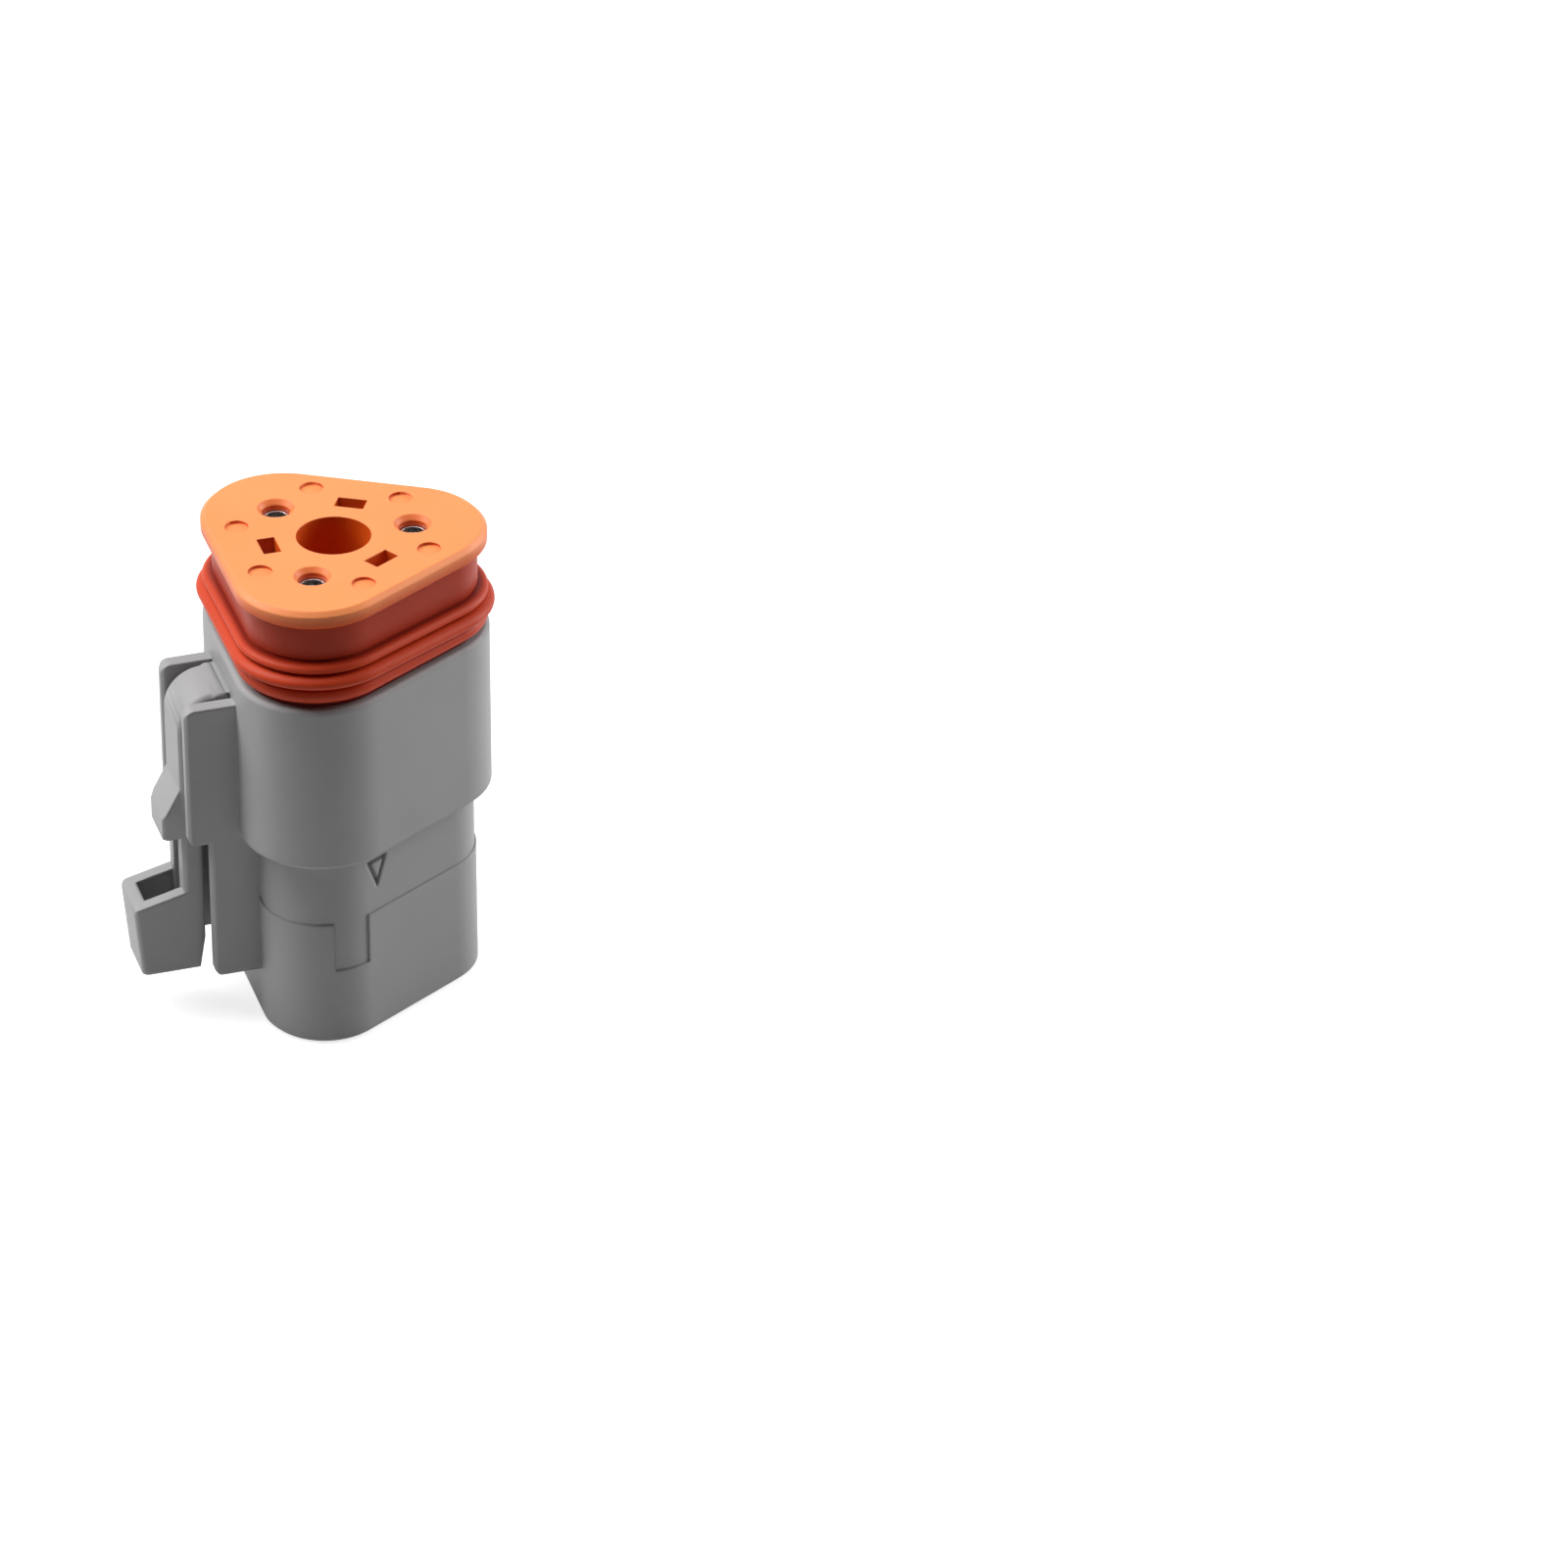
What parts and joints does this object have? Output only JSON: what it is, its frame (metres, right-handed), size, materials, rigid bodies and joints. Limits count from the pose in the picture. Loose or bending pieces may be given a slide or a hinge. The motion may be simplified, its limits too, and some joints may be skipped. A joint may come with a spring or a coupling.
{
  "type": "sealed automotive connector",
  "caption": "Sealed wire harness plug with a rounded triangular body, ribbed silicone seal, orange wedge lock and a springy side latch.",
  "frame": {"origin": "on the connector's axis, in the plane of the rear rim where the wires come out", "axes": "+Z along the axis towards the mating face, -X towards the latch lever, +Y completes the frame"},
  "size_m": [0.0323, 0.0254, 0.0429],
  "materials": {
    "housing_plastic": "fine matte grey moulding",
    "wedge_plastic": "satin orange moulding",
    "seal_silicone": "satin orange-red silicone",
    "contact_metal": "nickel plated copper alloy",
    "sleeve_steel": "bright stainless steel"
  },
  "bodies": {
    "plug": {"housing": "housing_plastic", "interface_seal": "seal_silicone", "wire_seal": "seal_silicone", "socket_contact_1": "contact_metal", "socket_contact_2": "contact_metal", "socket_contact_3": "contact_metal", "contact_sleeve_1": "sleeve_steel", "contact_sleeve_2": "sleeve_steel", "contact_sleeve_3": "sleeve_steel"},
    "latch": {"latch_lever": "housing_plastic"},
    "wedge": {"wedge_lock": "wedge_plastic"}
  },
  "joints": [
    {"name": "latch_flex", "type": "hinge", "parent": "plug", "child": "latch", "pos_m": [-0.01065, 0, 0.0303], "axis": [0, -1, 0], "range_deg": [0, 8], "stiffness_Nm_per_rad": 2},
    {"name": "wedge_slide", "type": "slide", "parent": "plug", "child": "wedge", "axis": [0, 0, 1], "range_m": [0, 0.018]}
  ]
}
